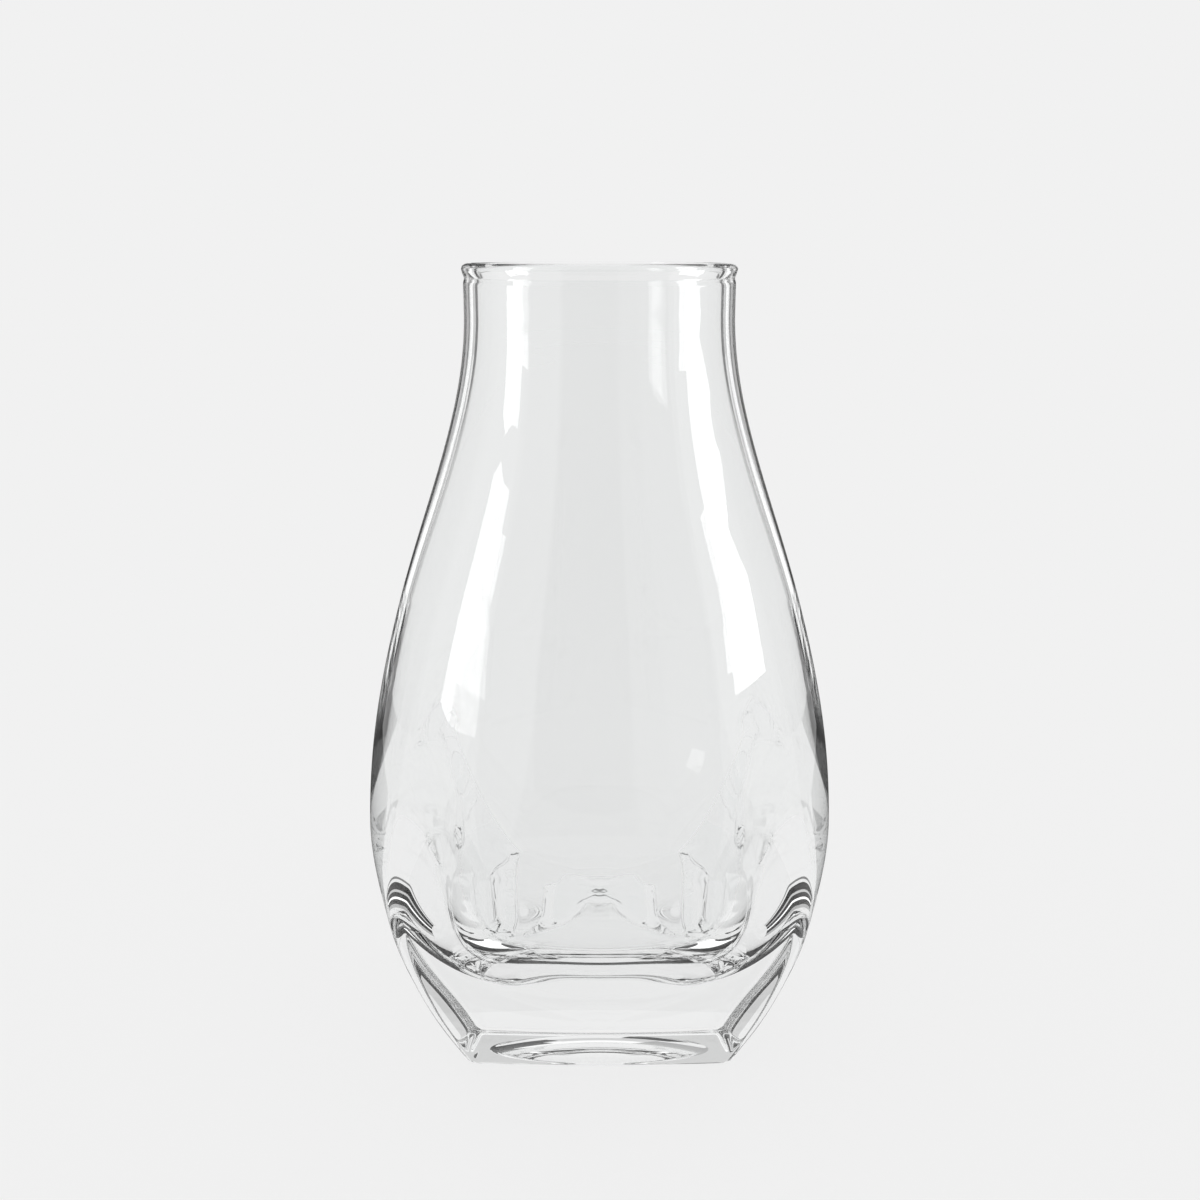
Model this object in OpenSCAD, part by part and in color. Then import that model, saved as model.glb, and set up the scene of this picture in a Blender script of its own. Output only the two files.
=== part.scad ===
// Flower vase in clear glass, one solid piece.
// A thick rounded-square base opens into a round belly and closes to a short
// neck with a beaded lip. Origin: centre of the foot, +Z up, millimetres.

/* [Overall] */
// Height from the table to the top of the lip
total_h = 250; // [230:1:280]
// Scale of every width, for a slimmer or a fuller vase
fullness = 1; // [0.85:0.01:1.15]

/* [Base] */
// Width across the flats at the foot, before its edge is rounded
base_w = 88; // [82:1:96]
// How far the sides lean out at the foot, width per height
base_flare = 0.44; // [0.35:0.01:0.55]
// Radius of the bowed sides over the half width
side_bow = 18; // [8:1:40]
// Radius of the corners over the half width
corner_round = 0.085; // [0.06:0.005:0.2]
// Height of the rounding between the foot and the sides
foot_round = 2.4; // [1.5:0.1:4]

/* [Body] */
// Width across the flats a sixth of the way up
hip_w = 125; // [118:1:132]
// Lean of the sides there, width per height
hip_flare = 0.52; // [0.4:0.01:0.6]
// Greatest width
belly_w = 152; // [142:1:162]
// Width at the shoulder, where the sides lean in most
shoulder_w = 126; // [116:1:134]
// Lean of the shoulder, width per height
shoulder_slope = -0.29; // [-0.35:0.01:-0.22]
// Least width of the neck
neck_w = 82.6; // [72:0.2:96]
// Height below which the section stays a rounded square
square_to = 12; // [0:1:30]
// Height above which the section is a circle
round_from = 130; // [110:1:150]

/* [Lip] */
// Outer width of the beaded lip
lip_w = 83.6; // [80:0.2:98]
// Height of the bead
lip_h = 3.6; // [2.5:0.1:5]

/* [Walls] */
// Wall at the neck
neck_wall = 4.4; // [3:0.1:6]
// Wall at the shoulder, the thinnest place
shoulder_wall = 2.8; // [2.2:0.1:5]
// Wall at the belly
belly_wall = 4.4; // [3:0.1:7]
// Glass under the middle of the cavity
floor_h = 39; // [28:1:46]
// Squareness of the bowl: 2 is an ellipse, more is boxier
bowl_power = 2.8; // [2:0.1:3]
// Extra depth of the cavity towards the four corners
corner_dip = 6; // [0:0.5:8]

/* [Punt] */
// Radius of the hollow under the foot
punt_r = 36; // [30:1:38]
// Depth of the hollow
punt_d = 5; // [2:0.5:8]

/* [Hidden] */
around = 64;        // points round each ring
side_rings = 30;    // rings up the outside
bowl_rings = 12;    // rings round the bottom of the cavity
wall_rings = 14;    // rings up the cavity above the belly
lip_rings = 6;      // rings over the lip
belly_z = 0.308 * total_h;
// Height, half width and lean of each station of the outline
stations = [
    [0, base_w / 2, base_flare],
    [0.16 * total_h, hip_w / 2, hip_flare],
    [belly_z, belly_w / 2, 0],
    [0.6 * total_h, shoulder_w / 2, shoulder_slope],
    [0.944 * total_h, neck_w / 2, 0],
    [total_h, neck_w / 2, 0]
];
// Height and thickness of the wall
wall_stations = [
    [belly_z, belly_wall],
    [0.45 * total_h, (belly_wall + shoulder_wall) / 2],
    [0.6 * total_h, shoulder_wall],
    [0.8 * total_h, (neck_wall + shoulder_wall) / 2 + 0.2],
    [0.9 * total_h, neck_wall],
    [total_h, neck_wall]
];
// Directions of the ring points, closer together at the corners
angles = [for (i = [0 : around - 1])
    let (u = 360 * i / around) u + 8.6 * sin(4 * u)];

function clamp(x) = min(max(x, 0), 1);
function ease(x) = let (t = clamp(x)) t * t * (3 - 2 * t);
function mix(a, b, t) = a + (b - a) * t;

// Cubic from [z, value, slope] at p to the same at q
function cubic(p, q, z) =
    let (h = q[0] - p[0], t = (z - p[0]) / h)
    (1 + 2 * t) * (1 - t) * (1 - t) * p[1] + t * (1 - t) * (1 - t) * h * p[2]
    + t * t * (3 - 2 * t) * q[1] + t * t * (t - 1) * h * q[2];

// Half width of the outside across the flats at height z
function outer_half(z, i = 0) =
    i == len(stations) - 2 || z <= stations[i + 1][0]
        ? fullness * cubic(stations[i], stations[i + 1], z)
        : outer_half(z, i + 1);

// Thickness of the wall at height z
function wall(z) = lookup(z, wall_stations);

// 0 for the rounded square, 1 for the circle
function roundness(z) = ease((z - square_to) / (round_from - square_to));

// Radius of a rounded-square section in direction a: bowed sides of radius
// bow and corner arcs of radius corner, both in half widths s
function section(s, bow, corner, a) =
    let (
        big = bow * s,
        small = corner * s,
        back = big - s,
        centre = (-back + sqrt(max(2 * pow(big - small, 2) - back * back, 0))) / 2,
        turn = atan2(centre, centre + back),
        meet = atan2(big * sin(turn), big * cos(turn) - back),
        off = abs((a + 45) % 90 - 45),
        d = centre * sqrt(2)
    )
    off < meet
        ? -back * cos(off) + sqrt(big * big - pow(back * sin(off), 2))
        : d * cos(45 - off) + sqrt(max(small * small - pow(d * sin(45 - off), 2), 0));

// One ring: half width s, height z, section from square (w = 0) to round
// (w = 1), and how far its corners dip
function ring(s, z, w, sides = side_bow, corner = corner_round, power = 3, dip = 0) =
    let (
        bow = max(1 / ((1 - w) / sides + w), 1.0001),
        round_corner = min(corner + (1 - corner) * pow(w, power), 0.9999)
    )
    [for (a = angles)
        let (
            r = section(s, bow, round_corner, (a + 360) % 360),
            lobe = pow((1 - cos(4 * a)) / 2, 2)
        )
        [r * cos(a), r * sin(a), z - dip * lobe]];

// Outside, from just under the foot to the lip
foot_top = foot_round;
foot_half = outer_half(0) - 1.2;
wall_at_top = outer_half(foot_top);
lean = (outer_half(foot_top + 0.5) - wall_at_top) / 0.5;
knee = wall_at_top - lean * foot_top;
function foot_point(t) = [
    mix(mix(foot_half, knee, t), mix(knee, wall_at_top, t), t),
    foot_top * t * t
];
foot_rings = [for (t = [0.25, 0.5, 0.75])
    let (p = foot_point(t)) ring(p[0], p[1], roundness(p[1]))];
lip_z = total_h - lip_h;
outside = concat(
    [ring(foot_half - 1, -1, roundness(0))],
    foot_rings,
    [for (i = [0 : side_rings])
        let (z = mix(foot_top, lip_z, i / side_rings))
        ring(outer_half(z), z, roundness(z))]
);

// Lip: a bead with a round top, a little wider than the neck
lip_out = fullness * lip_w / 2;
lip_in = outer_half(lip_z) - neck_wall;
lip_mid = (lip_out + lip_in) / 2;
lip_r = (lip_out - lip_in) / 2;
bead_z = total_h - lip_h / 2;
lip = [for (i = [0 : lip_rings])
    let (a = 180 * i / lip_rings)
    ring(lip_mid + lip_r * cos(a), bead_z + lip_h / 2 * sin(a), 1)];

// Cavity: follows the outside down to the belly, then a bowl whose corners dip
bowl_top = belly_z + 2;
bowl_half = outer_half(bowl_top) - belly_wall;
cavity_wall = [for (i = [0 : wall_rings - 1])
    let (z = mix(lip_z - 1, bowl_top, i / wall_rings))
    ring(outer_half(z) - wall(z), z, 1)];
function bowl_w(u) = bowl_half * pow(1 - pow(u, bowl_power), 1 / bowl_power);
bowl = [for (i = [0 : bowl_rings - 1])
    let (
        u = sin(90 * i / bowl_rings),
        z = mix(bowl_top, floor_h, u),
        s = bowl_w(u),
        near = exp(-pow((z - floor_h) / 14, 2)) * pow(min(s / 40, 1), 2)
    )
    ring(s, z, ease((z - floor_h) / (bowl_top - floor_h)), 1.5, 0.8, 1, corner_dip * near)];

rings = concat(outside, lip, cavity_wall, bowl);
points = concat([for (r = rings) each r], [[0, 0, floor_h]]);
last = len(rings) - 1;
bottom_face = [[for (j = [0 : around - 1]) j]];
side_faces = [for (i = [0 : last - 1], j = [0 : around - 1])
    let (k = (j + 1) % around)
    each [
        [i * around + j, (i + 1) * around + k, i * around + k],
        [i * around + j, (i + 1) * around + j, (i + 1) * around + k]
    ]];
floor_faces = [for (j = [0 : around - 1])
    [last * around + j, len(points) - 1, last * around + (j + 1) % around]];

// The body with its cavity, open at the lip and running on below the foot
module blown_body() {
    polyhedron(points = points, faces = concat(bottom_face, side_faces, floor_faces));
}

// The shallow round hollow under the foot
module punt() {
    dome = [for (i = [0 : 10])
        let (t = 1 - i / 10) [punt_r * t, punt_d * (1 - t * t)]];
    rotate_extrude($fn = 96)
        polygon(concat([[0, -2], [punt_r, -2]], dome));
}

// The vase: the body cut flat at the table, with the punt
module vase_glass() {
    color([0.9, 0.95, 0.95, 0.35])
    difference() {
        blown_body();
        translate([-belly_w, -belly_w, -4])
            cube([2 * belly_w, 2 * belly_w, 4]);
        punt();
    }
}

vase_glass();
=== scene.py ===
# Flower vase in clear glass on a pale studio sweep.
# Metres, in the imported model's frame: foot on z = 0, +Z up, camera on the -Y side.
import math

import bpy
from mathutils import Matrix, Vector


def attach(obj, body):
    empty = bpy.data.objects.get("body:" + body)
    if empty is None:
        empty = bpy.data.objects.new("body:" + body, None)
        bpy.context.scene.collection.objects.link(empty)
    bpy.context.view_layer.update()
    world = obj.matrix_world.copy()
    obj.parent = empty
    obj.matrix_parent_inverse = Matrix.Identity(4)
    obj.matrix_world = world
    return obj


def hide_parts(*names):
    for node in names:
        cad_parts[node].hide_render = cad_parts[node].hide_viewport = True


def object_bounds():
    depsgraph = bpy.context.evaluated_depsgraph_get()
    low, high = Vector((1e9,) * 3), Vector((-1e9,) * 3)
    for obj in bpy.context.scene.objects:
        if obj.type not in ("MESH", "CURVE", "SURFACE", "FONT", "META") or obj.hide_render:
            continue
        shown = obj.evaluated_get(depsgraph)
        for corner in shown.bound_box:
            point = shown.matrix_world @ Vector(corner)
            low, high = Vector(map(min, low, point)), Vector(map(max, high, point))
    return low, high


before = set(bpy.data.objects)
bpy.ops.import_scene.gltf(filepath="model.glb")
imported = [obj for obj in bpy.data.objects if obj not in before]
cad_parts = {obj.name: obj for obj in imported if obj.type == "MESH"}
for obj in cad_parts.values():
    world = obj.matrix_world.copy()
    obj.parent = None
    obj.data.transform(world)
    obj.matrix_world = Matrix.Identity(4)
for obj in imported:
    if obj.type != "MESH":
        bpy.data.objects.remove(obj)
cad_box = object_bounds()
LOW, HIGH = cad_box
HEIGHT = HIGH[2] - LOW[2]

scene = bpy.context.scene

# ---------------------------------------------------------------- camera
CAMERA_DISTANCE = 1.5608 * HEIGHT
CAMERA_HEIGHT = 1.0136 * HEIGHT
CAMERA_PITCH = math.radians(15.65)
LENS, SENSOR = 37.35, 36.0
SHIFT_X = 0.5 / 1200  # half a column of the frame, which has no middle column
CLIP_START = 0.01

camera_data = bpy.data.cameras.new("camera")
camera_data.sensor_width = SENSOR
camera_data.lens = LENS
camera_data.shift_x = SHIFT_X
camera_data.clip_start = CLIP_START
camera = bpy.data.objects.new("camera", camera_data)
camera.location = (0.0, -CAMERA_DISTANCE, CAMERA_HEIGHT)
camera.rotation_euler = (math.pi / 2 - CAMERA_PITCH, 0.0, 0.0)
scene.collection.objects.link(camera)
scene.camera = camera
scene.view_settings.view_transform = "Standard"

# ---------------------------------------------------------------- shape, in mm
TOTAL = 250.0
MM = HEIGHT / TOTAL
BASE_W, BASE_FLARE = 88.0, 0.44
SIDE_BOW, CORNER_ROUND = 18.0, 0.085
FOOT_INSET, FOOT_ROUND = 1.2, 2.4
HIP_W, HIP_FLARE = 125.0, 0.52
BELLY_W = 152.0
SHOULDER_W, SHOULDER_SLOPE = 126.0, -0.29
NECK_W = 82.6
SQUARE_TO, ROUND_FROM = 12.0, 130.0
LIP_W, LIP_H = 83.6, 3.6
NECK_WALL, SHOULDER_WALL, BELLY_WALL = 4.4, 2.8, 4.4
THROAT_EXTRA = 0.2  # wall at four fifths of the height, over the mean of neck and shoulder
BELLY_Z = 0.308 * TOTAL
LIP_Z = TOTAL - LIP_H
# Fine groove under the lip: its depth, its height and how far it spreads
GROOVE, GROOVE_Z, GROOVE_SPREAD = 0.30, 245.5, 0.8
# Cavity: where its wall starts below the lip, and the bowl that closes it
CAVITY_DROP, BOWL_RISE = 1.0, 2.0
FLOOR_H, BOWL_POWER = 39.0, 2.8
BOWL_SIDES, BOWL_CORNER = 1.5, 0.8
# Extra depth towards the corners, the height it fades over and the width it fills
CORNER_DIP, DIP_FADE, DIP_HALF = 6.0, 14.0, 40.0
# Hollow under the foot
PUNT_R, PUNT_D = 36.0, 5.0
# Height, half width and lean of each station of the outline
STATIONS = [
    (0.0, BASE_W / 2, BASE_FLARE),
    (0.16 * TOTAL, HIP_W / 2, HIP_FLARE),
    (BELLY_Z, BELLY_W / 2, 0.0),
    (0.6 * TOTAL, SHOULDER_W / 2, SHOULDER_SLOPE),
    (0.944 * TOTAL, NECK_W / 2, 0.0),
    (TOTAL, NECK_W / 2, 0.0),
]
# Height and thickness of the wall
WALL_STATIONS = [
    (BELLY_Z, BELLY_WALL),
    (0.45 * TOTAL, (BELLY_WALL + SHOULDER_WALL) / 2),
    (0.6 * TOTAL, SHOULDER_WALL),
    (0.8 * TOTAL, (NECK_WALL + SHOULDER_WALL) / 2 + THROAT_EXTRA),
    (0.9 * TOTAL, NECK_WALL),
    (TOTAL, NECK_WALL),
]

# Points round each ring, and how far they are drawn together at the corners
AROUND, CORNER_DRAW = 384, 0.15
# Rings in each stretch of the skin
PUNT_RINGS, FOOT_RINGS, EDGE_RINGS = 32, 10, 12
SIDE_RINGS, NECK_RINGS, LIP_RINGS = 190, 24, 24
WALL_RINGS, BOWL_RINGS = 160, 90
NECK_Z = 241.0  # the rings are closer together from here to the lip
LEAN_STEP = 0.5  # height over which the lean of the sides is measured
# A section's bow stays over 1 and its corner under 1, each by this much
ROUND_MARGIN = 0.0001


def ease(x):
    t = min(max(x, 0.0), 1.0)
    return t * t * (3 - 2 * t)


def mix(a, b, t):
    return a + (b - a) * t


def outer_half(z):
    """Half width of the outside across the flats at height z."""
    for p, q in zip(STATIONS, STATIONS[1:]):
        if z <= q[0] or q is STATIONS[-1]:
            h = q[0] - p[0]
            t = (z - p[0]) / h
            return (
                (1 + 2 * t) * (1 - t) ** 2 * p[1]
                + t * (1 - t) ** 2 * h * p[2]
                + t * t * (3 - 2 * t) * q[1]
                + t * t * (t - 1) * h * q[2]
            )


def wall(z):
    """Thickness of the wall at height z, on straight lines between its stations."""
    if z <= WALL_STATIONS[0][0]:
        return WALL_STATIONS[0][1]
    for p, q in zip(WALL_STATIONS, WALL_STATIONS[1:]):
        if z <= q[0]:
            return mix(p[1], q[1], (z - p[0]) / (q[0] - p[0]))
    return WALL_STATIONS[-1][1]


def roundness(z):
    """0 where the outside is a rounded square, 1 where it is a circle."""
    return ease((z - SQUARE_TO) / (ROUND_FROM - SQUARE_TO))


def section(s, bow, corner, a):
    """Radius in direction a of a rounded square with bowed sides and corner arcs."""
    big, small = bow * s, corner * s
    back = big - s
    centre = (-back + math.sqrt(max(2 * (big - small) ** 2 - back * back, 0.0))) / 2
    turn = math.atan2(centre, centre + back)
    meet = math.atan2(big * math.sin(turn), big * math.cos(turn) - back)
    off = abs((a + math.pi / 4) % (math.pi / 2) - math.pi / 4)
    if off < meet:
        return -back * math.cos(off) + math.sqrt(big * big - (back * math.sin(off)) ** 2)
    d = centre * math.sqrt(2)
    b = math.pi / 4 - off
    return d * math.cos(b) + math.sqrt(max(small * small - (d * math.sin(b)) ** 2, 0.0))


def ring_angles():
    """Directions of the points of a ring, closer together at the corners."""
    angles = []
    for j in range(AROUND):
        u = 2 * math.pi * j / AROUND
        angles.append(u + CORNER_DRAW * math.sin(4 * u))
    return angles


ANGLES = ring_angles()


def ring(s, z, w, sides=SIDE_BOW, corner=CORNER_ROUND, power=3, dip=0.0):
    """Points of one ring, from square (w = 0) to round (w = 1), in metres."""
    bow = max(1 / ((1 - w) / sides + w), 1 + ROUND_MARGIN)
    arc = min(corner + (1 - corner) * w**power, 1 - ROUND_MARGIN)
    points = []
    for a in ANGLES:
        r = section(s, bow, arc, a)
        lobe = ((1 - math.cos(4 * a)) / 2) ** 2
        points.append((r * math.cos(a) * MM, r * math.sin(a) * MM, (z - dip * lobe) * MM))
    return points


def foot_rings():
    """Domed hollow under the foot, flat of the foot and its rounded edge."""
    rings = []
    for i in range(1, PUNT_RINGS + 1):
        t = i / PUNT_RINGS
        rings.append(ring(PUNT_R * t, PUNT_D * (1 - t * t), 1.0))
    foot_half = outer_half(0) - FOOT_INSET
    for i in range(1, FOOT_RINGS + 1):
        t = i / FOOT_RINGS
        rings.append(ring(mix(PUNT_R, foot_half, t), 0.0, mix(1.0, roundness(0), t)))
    top_half = outer_half(FOOT_ROUND)
    lean = (outer_half(FOOT_ROUND + LEAN_STEP) - top_half) / LEAN_STEP
    knee = top_half - lean * FOOT_ROUND
    for i in range(1, EDGE_RINGS):
        t = i / EDGE_RINGS
        half = mix(mix(foot_half, knee, t), mix(knee, top_half, t), t)
        z = FOOT_ROUND * t * t
        rings.append(ring(half, z, roundness(z)))
    return rings


def outside_rings():
    """Outside from the foot to the lip, with the groove under it."""
    rings = []
    for i in range(SIDE_RINGS + 1):
        z = mix(FOOT_ROUND, NECK_Z, i / SIDE_RINGS)
        rings.append(ring(outer_half(z), z, roundness(z)))
    for i in range(1, NECK_RINGS + 1):
        z = mix(NECK_Z, LIP_Z, i / NECK_RINGS)
        groove = GROOVE * math.exp(-(((z - GROOVE_Z) / GROOVE_SPREAD) ** 2))
        rings.append(ring(outer_half(z) - groove, z, 1.0))
    return rings


def lip_rings():
    """Beaded lip, from the outside over the top to the cavity."""
    lip_in = outer_half(LIP_Z) - NECK_WALL
    middle, radius = (LIP_W / 2 + lip_in) / 2, (LIP_W / 2 - lip_in) / 2
    rings = []
    for i in range(LIP_RINGS + 1):
        a = math.pi * i / LIP_RINGS
        z = TOTAL - LIP_H / 2 + LIP_H / 2 * math.sin(a)
        rings.append(ring(middle + radius * math.cos(a), z, 1.0))
    return rings


def cavity_rings():
    """Wall of the cavity down to the belly, then its bowl."""
    bowl_top = BELLY_Z + BOWL_RISE
    bowl_half = outer_half(bowl_top) - BELLY_WALL
    rings = []
    for i in range(WALL_RINGS):
        z = mix(LIP_Z - CAVITY_DROP, bowl_top, i / WALL_RINGS)
        rings.append(ring(outer_half(z) - wall(z), z, 1.0))
    for i in range(BOWL_RINGS):
        u = math.sin(math.pi / 2 * i / BOWL_RINGS)
        z = mix(bowl_top, FLOOR_H, u)
        s = bowl_half * (1 - u**BOWL_POWER) ** (1 / BOWL_POWER)
        near = math.exp(-(((z - FLOOR_H) / DIP_FADE) ** 2)) * min(s / DIP_HALF, 1) ** 2
        w = ease((z - FLOOR_H) / (bowl_top - FLOOR_H))
        rings.append(ring(s, z, w, BOWL_SIDES, BOWL_CORNER, 1, CORNER_DIP * near))
    return rings


def skin(name, rings, first, last):
    """Smooth closed mesh over the rings, with a point at each end."""
    verts = [first] + [p for r in rings for p in r] + [last]
    faces = []
    for i in range(len(rings) - 1):
        for j in range(AROUND):
            k = (j + 1) % AROUND
            a, b = 1 + i * AROUND, 1 + (i + 1) * AROUND
            faces.append((a + j, a + k, b + k, b + j))
    end, tail = len(verts) - 1, 1 + (len(rings) - 1) * AROUND
    for j in range(AROUND):
        k = (j + 1) % AROUND
        faces.append((0, 1 + k, 1 + j))
        faces.append((tail + j, tail + k, end))
    mesh = bpy.data.meshes.new(name)
    mesh.from_pydata(verts, [], faces)
    mesh.update()
    for face in mesh.polygons:
        face.use_smooth = True
    obj = bpy.data.objects.new(name, mesh)
    scene.collection.objects.link(obj)
    return obj


vase = skin(
    "vase_body",
    foot_rings() + outside_rings() + lip_rings() + cavity_rings(),
    (0, 0, PUNT_D * MM),
    (0, 0, FLOOR_H * MM),
)
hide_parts("vase_glass")
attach(vase, "root")

# ---------------------------------------------------------------- glass
GLASS_IOR = 1.5
# Very light tint that drifts a little through the glass: where each end of the
# drift lies on the noise, and its colour
TINT_SCALE, TINT_DETAIL = 9.0, 1.0
TINTS = (
    (0.3, (0.962, 0.967, 0.966, 1)),
    (0.7, (0.976, 0.981, 0.980, 1)),
)


def new_material(name):
    """Material with nothing in it but its output, as the material and its node tree."""
    mat = bpy.data.materials.new(name)
    mat.use_nodes = True
    tree = mat.node_tree
    tree.nodes.clear()
    tree.nodes.new("ShaderNodeOutputMaterial")
    return mat, tree


def show(tree, shader):
    """Put a shader on the surface."""
    tree.links.new(shader.outputs[0], tree.nodes["Material Output"].inputs["Surface"])


def glass_material():
    mat, tree = new_material("clear_glass")
    glass = tree.nodes.new("ShaderNodeBsdfPrincipled")
    glass.inputs["Roughness"].default_value = 0.0
    glass.inputs["IOR"].default_value = GLASS_IOR
    glass.inputs["Transmission Weight"].default_value = 1.0
    place = tree.nodes.new("ShaderNodeTexCoord")
    noise = tree.nodes.new("ShaderNodeTexNoise")
    noise.inputs["Scale"].default_value = TINT_SCALE
    noise.inputs["Detail"].default_value = TINT_DETAIL
    tint = tree.nodes.new("ShaderNodeValToRGB")
    for element, (position, colour) in zip(tint.color_ramp.elements, TINTS):
        element.position = position
        element.color = colour
    tree.links.new(place.outputs["Object"], noise.inputs["Vector"])
    tree.links.new(noise.outputs["Fac"], tint.inputs["Fac"])
    tree.links.new(tint.outputs["Color"], glass.inputs["Base Color"])
    show(tree, glass)
    return mat


vase.data.materials.append(glass_material())

# ---------------------------------------------------------------- studio
BACKDROP = 0.8797
FLOOR_DROP, FLOOR_HALF = 0.0003, 4
# Paint of the floor, and the share of it that takes light; the rest glows
FLOOR_PAINT, FLOOR_SHARE = 0.8, 0.10
SIDES = ((-1, "left"), (1, "right"))

# Every card below is painted light: unseen by the camera, lighting nothing and casting no
# shadow, it shows only in the glass, as a painted highlight, reflection or shade.
# A card shows only in light that has come to it in its own way. The first test is on
# how often the light was mirrored. The second is on how many surfaces of the glass it
# has gone through: up to two until it has crossed the cavity, and more after that.
ONCE, EVER, AGAIN = ("COMPARE", 1.0, 0.5), ("GREATER_THAN", 0.5), ("GREATER_THAN", 1.5)
BEFORE, BEYOND = ("LESS_THAN", 2.5), ("GREATER_THAN", 2.5)
WAYS = {
    "near": (ONCE, BEFORE),
    "across": (ONCE, BEYOND),
    "held": (EVER, BEFORE),
    "deep": (AGAIN, BEFORE),
    "over": (AGAIN, BEYOND),
    "inner": (ONCE, BEFORE),  # with the first test turned round, so all but once
}


def glow_node(tree, value):
    glow = tree.nodes.new("ShaderNodeEmission")
    glow.inputs["Color"].default_value = (1, 1, 1, 1)
    glow.inputs["Strength"].default_value = value
    return glow


def blend_node(tree, first, second):
    """Mix of two shaders; its input 0 is the share of the second."""
    blend = tree.nodes.new("ShaderNodeMixShader")
    tree.links.new(first.outputs[0], blend.inputs[1])
    tree.links.new(second.outputs[0], blend.inputs[2])
    return blend


def floor_material():
    """Pale floor that glows for the most part and takes a faint shadow."""
    mat, tree = new_material("floor")
    glow = glow_node(tree, BACKDROP * (1 - FLOOR_SHARE * FLOOR_PAINT) / (1 - FLOOR_SHARE))
    diffuse = tree.nodes.new("ShaderNodeBsdfDiffuse")
    diffuse.inputs["Color"].default_value = (FLOOR_PAINT, FLOOR_PAINT, FLOOR_PAINT, 1)
    blend = blend_node(tree, glow, diffuse)
    blend.inputs[0].default_value = FLOOR_SHARE
    show(tree, blend)
    return mat


def card_material(name, value, way):
    """Painted light: a plain glow in the light that comes in the given way, nothing at all
    in the rest.
    """
    mat, tree = new_material(name)

    def math_node(operation, *given):
        node = tree.nodes.new("ShaderNodeMath")
        node.operation = operation
        for socket, number in zip(node.inputs, given):
            if isinstance(number, float):
                socket.default_value = number
            else:
                tree.links.new(number, socket)
        return node.outputs[0]

    path = tree.nodes.new("ShaderNodeLightPath")
    (mirror_test, *mirror_numbers), (cross_test, *cross_numbers) = WAYS[way]
    mirrored = math_node(mirror_test, path.outputs["Glossy Depth"], *mirror_numbers)
    if way == "inner":
        mirrored = math_node("SUBTRACT", 1.0, mirrored)
    crossed = math_node(cross_test, path.outputs["Transmission Depth"], *cross_numbers)
    clear = tree.nodes.new("ShaderNodeBsdfTransparent")
    blend = blend_node(tree, clear, glow_node(tree, value))
    tree.links.new(math_node("MULTIPLY", mirrored, crossed), blend.inputs[0])
    show(tree, blend)
    return mat


def sheet(name, corners, mat, seen):
    """Flat piece of the studio. Only one that is seen shows to the camera, lights the
    floor and casts a shadow."""
    mesh = bpy.data.meshes.new(name)
    mesh.from_pydata(corners, [], [tuple(range(len(corners)))])
    obj = bpy.data.objects.new(name, mesh)
    scene.collection.objects.link(obj)
    mesh.materials.append(mat)
    obj.visible_camera = seen
    obj.visible_diffuse = seen
    obj.visible_shadow = seen


def card(name, value, way, corners):
    sheet(name, corners, card_material(name, value, way), False)


def floor():
    z, half = LOW[2] - FLOOR_DROP, FLOOR_HALF
    corners = [(-half, -half, z), (half, -half, z), (half, half, z), (-half, half, z)]
    sheet("floor", corners, floor_material(), True)


def backdrop():
    world = bpy.data.worlds.new("studio")
    scene.world = world
    world.use_nodes = True
    background = world.node_tree.nodes["Background"]
    background.inputs[0].default_value = (BACKDROP, BACKDROP, BACKDROP, 1)


floor()
backdrop()

# ---------------------------------------------------------------- softboxes
# The softboxes are glowing cards, not lamps: they light nothing and show only in
# once-mirrored light, as painted highlights on the glass.
SOFTBOX_X = 0.300
SOFTBOX_GLOW, FAR_SOFTBOX_GLOW = 5.0, 3.0
# Outlines of the softboxes as y, z, which give the bright strips their ends and edges
LEFT_SOFTBOX = (
    (-0.200, 0.131),
    (-0.063, 0.126),
    (-0.067, 0.198),
    (-0.073, 0.251),
    (-0.079, 0.268),
    (-0.103, 0.276),
    (-0.135, 0.282),
    (-0.165, 0.290),
    (-0.160, 0.235),
    (-0.175, 0.200),
)
RIGHT_SOFTBOX = (
    (-0.137, 0.142),
    (-0.018, 0.134),
    (0.000, 0.200),
    (-0.030, 0.236),
    (0.012, 0.250),
    (-0.050, 0.272),
    (-0.115, 0.282),
    (-0.108, 0.235),
)
FAR_SOFTBOX = ((-0.215, 0.0), (-0.105, 0.0), (-0.105, 0.24), (-0.215, 0.24))


def softbox(name, value, way, x, outline):
    card(name, value, way, [(x, y, z) for y, z in outline])


softbox("left_softbox", SOFTBOX_GLOW, "near", -SOFTBOX_X, LEFT_SOFTBOX)
softbox("right_softbox", SOFTBOX_GLOW, "near", SOFTBOX_X, RIGHT_SOFTBOX)
softbox("left_far_softbox", FAR_SOFTBOX_GLOW, "across", -SOFTBOX_X, FAR_SOFTBOX)

# ---------------------------------------------------------------- cards and flags
PANEL_Y, CARD_TOP = -0.5, 0.60
SIDE_FLAG_X, SIDE_FLAG_LIFT = 0.19, 0.06
SHELL_Z, SHELL_FAR = 0.03, 0.7
# Heights of the cards that lie on the floor, one above another
UNDER_FOOT_Z = -0.0002
FRONT_FLOOR_Z, DEEP_FLOOR_Z, EDGE_FLOOR_Z, STRIPE_Z = 0.0005, 0.0007, 0.0009, 0.0011
# Middle of each fan of stripes, beside a front corner, and where its stripes start and end
FAN_X, FAN_Y = 0.068, -0.045
STRIPE_START, STRIPE_END = 0.03, 0.11
# Glow of the dark flags and of the dark cards on the floor, which paint shade and dark
# lines into the glass
FLAG, PAINTED_DARK_GLOW = 0.04, 0.05


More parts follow.
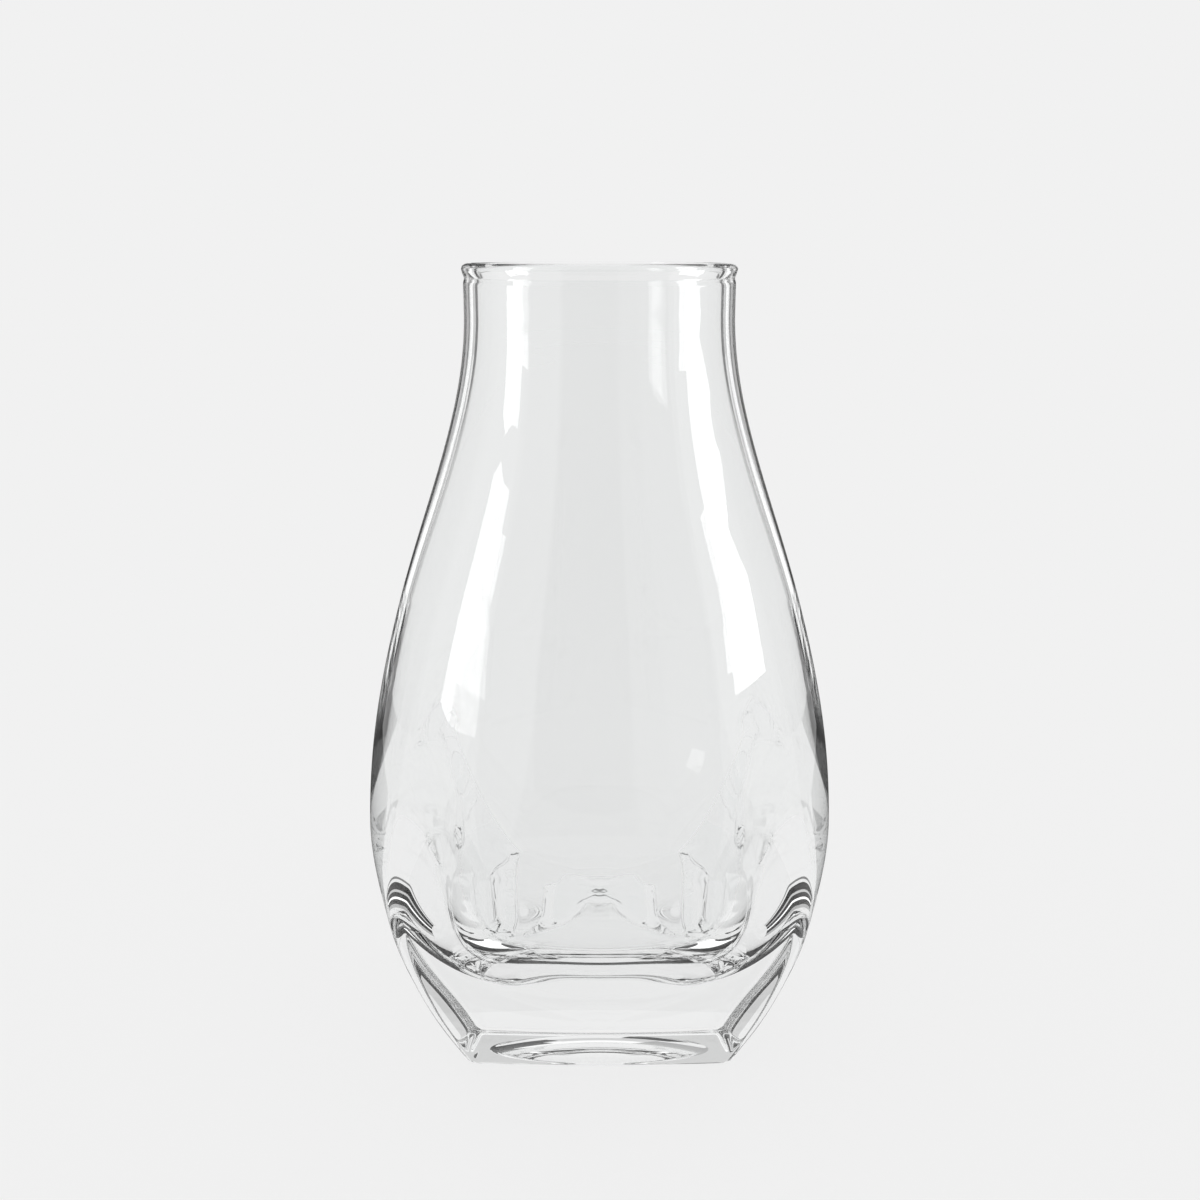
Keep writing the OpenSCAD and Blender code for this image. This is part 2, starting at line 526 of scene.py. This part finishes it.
def front_panel(name, value, left, right):
    """Upright panel across the camera's side, from one azimuth to another in degrees."""
    x0 = -PANEL_Y * math.tan(math.radians(left))
    x1 = -PANEL_Y * math.tan(math.radians(right))
    corners = [
        (x0, PANEL_Y, 0.0),
        (x1, PANEL_Y, 0.0),
        (x1, PANEL_Y, CARD_TOP),
        (x0, PANEL_Y, CARD_TOP),
    ]
    card(name, value, "held", corners)


def side_flags(name, value, near, far, low=0.0):
    """Upright card on each side, along the view, from one depth to another."""
    for side, tag in SIDES:
        x = side * SIDE_FLAG_X
        corners = [(x, near, low), (x, far, low), (x, far, CARD_TOP), (x, near, CARD_TOP)]
        card(name + "_" + tag, value, "held", corners)


def floor_card(name, value, way, z, outline, side=1):
    """Card that lies flat, from the x, y of its corners; on the left if side is -1."""
    card(name, value, way, [(side * x, y, z) for x, y in outline])


def floor_stripe(name, value, side, start, end):
    """Stripe on the floor beside a front corner, between two directions in degrees."""
    outline = []
    for turn, reach in (
        (start, STRIPE_START),
        (end, STRIPE_START),
        (end, STRIPE_END),
        (start, STRIPE_END),
    ):
        t = math.radians(turn)
        outline.append((FAN_X + reach * math.sin(t), FAN_Y + reach * math.cos(t)))
    floor_card(name, value, "held", STRIPE_Z, outline, side)


def shell(name, value, way, turn, rise, far=SHELL_FAR, side=1):
    """Card on a sphere round the vase, from one azimuth off straight back to another and
    from one elevation to another, in degrees; towards the left if side is -1."""
    corners = []
    for azimuth, elevation in (
        (turn[0], rise[0]),
        (turn[1], rise[0]),
        (turn[1], rise[1]),
        (turn[0], rise[1]),
    ):
        t, r = math.radians(side * azimuth), math.radians(elevation)
        x, y = far * math.sin(t) * math.cos(r), far * math.cos(t) * math.cos(r)
        corners.append((x, y, SHELL_Z + far * math.sin(r)))
    card(name, value, way, corners)


# Painted reflection of a darker room on the camera's side, seen only mirrored in the front
# of the body
front_panel("dark_panel", 0.05, -31, 15)
front_panel("dim_panel", 0.30, 15, 32)
front_panel("grey_panel_left", 0.50, -62, -31)
front_panel("grey_panel_right", 0.40, 32, 62)
FRONT_FLOOR = ((-0.9, -0.5), (0.9, -0.5), (0.12, -0.06), (-0.12, -0.06))
floor_card("front_floor", 0.42, "held", FRONT_FLOOR_Z, FRONT_FLOOR)

# Dark flags and glowing cards along both sides, seen only in mirrored light, which paint
# the dark and bright lines inside the outline
side_flags("deep_flag", FLAG, 0.275, 0.55)
side_flags("gap_light", 1.4, 0.185, 0.245, SIDE_FLAG_LIFT)
side_flags("middle_flag", FLAG, 0.122, 0.150)
side_flags("near_side_flag", 0.70, 0.0, 0.122, SIDE_FLAG_LIFT)

# Painted shade: dark cards all round, met only by light that the base bends or mirrors far
# off its way
for side, tag in SIDES:
    for name, way, turn, rise, far in (
        ("high_flag", "inner", (21, 60), (4, 40), 0.69),
        ("wide_flag", "deep", (60, 110), (4, 40), 0.69),
        ("front_flag", "deep", (110, 150), (4, 40), 0.69),
        ("camera_flag", "deep", (150, 180), (-4, 40), 0.45),
        ("top_flag", "inner", (0, 60), (40, 62), 0.68),
        ("top_side_flag", "inner", (60, 150), (40, 62), 0.68),
    ):
        shell(name + "_" + tag, FLAG, way, turn, rise, far, side)
# Dark cards on the floor, seen only in light the glass mirrors: painted shade in the base
DEEP_FLOOR = ((0.05, -0.6), (0.7, -0.6), (0.7, 0.5), (0.16, 0.5))
EDGE_FLOOR = ((0.05, 0.02), (0.10, 0.03), (0.7, 0.35), (0.7, 0.6), (0.05, 0.6))
for side, tag in SIDES:
    floor_card("deep_floor_" + tag, PAINTED_DARK_GLOW, "deep", DEEP_FLOOR_Z, DEEP_FLOOR, side)
    floor_card("edge_floor_" + tag, PAINTED_DARK_GLOW, "held", EDGE_FLOOR_Z, EDGE_FLOOR, side)

# Painted reflections: patches of light and dark high behind the vase, seen only mirrored
# in the base and the rim
shell("back_grey", 0.62, "held", (-6, 7.5), (23, 37))
shell("back_left_dark_low", 0.03, "held", (-40, -6), (20, 32))
shell("back_left_dark_middle", 0.03, "held", (-40, -8.5), (32, 43))
shell("back_left_dark_high", 0.03, "held", (-40, -17), (43, 62))
shell("back_light", 1.1, "held", (-8.5, 7.5), (37, 62))
shell("back_light_left", 1.1, "held", (-17, -8.5), (43, 62))
shell("back_right_grey", 0.38, "held", (7.5, 30), (26, 62))
shell("back_right_low", FLAG, "held", (2.5, 8), (8, 22))
shell("overhead_flag", 0.03, "over", (-35, 35), (62, 69))
shell("back_deep_flag", FLAG, "deep", (-21, 21), (5, 26), 0.72)

# Fans of stripes beside the front corners, seen only in mirrored light, which paint dark
# and bright
# reflections that show as a crackle band: where each stripe starts and ends in degrees,
# and its glow
STRIPES = (
    (14, 24, 0.45),
    (24, 36, 0.02),
    (36, 41, 1.3),
    (41, 50, 0.02),
    (50, 54, 0.6),
    (54, 63, 0.02),
    (66, 68, 0.2),
)
for side, tag in SIDES:
    for number, (start, end, value) in enumerate(STRIPES):
        floor_stripe("corner_stripe_%d_%s" % (number, tag), value, side, start, end)

# Painted shade and reflections, seen only in mirrored light: a dark card in the middle of
# the floor in front, patches low on both sides, and a dark card under the foot's front
# edge
DEEP_FRONT = ((-0.05, -0.6), (0.05, -0.6), (0.05, -0.06), (-0.05, -0.06))
floor_card("deep_floor_front", PAINTED_DARK_GLOW, "deep", DEEP_FLOOR_Z, DEEP_FRONT)
for side, tag in SIDES:
    shell("side_grey_" + tag, 0.64, "held", (13, 46), (-1, 20), 0.66, side)
    shell("low_flag_" + tag, FLAG, "deep", (21, 110), (-14, 4), 0.69, side)
UNDER_FOOT = ((-0.04, -0.046), (0.04, -0.046), (0.04, -0.03), (-0.04, -0.03))
floor_card("under_foot", PAINTED_DARK_GLOW, "deep", UNDER_FOOT_Z, UNDER_FOOT)

# ---------------------------------------------------------------- light paths
MOST_BOUNCES, GLASS_BOUNCES = 48, 40
scene.cycles.max_bounces = MOST_BOUNCES
scene.cycles.transmission_bounces = GLASS_BOUNCES
scene.cycles.glossy_bounces = GLASS_BOUNCES
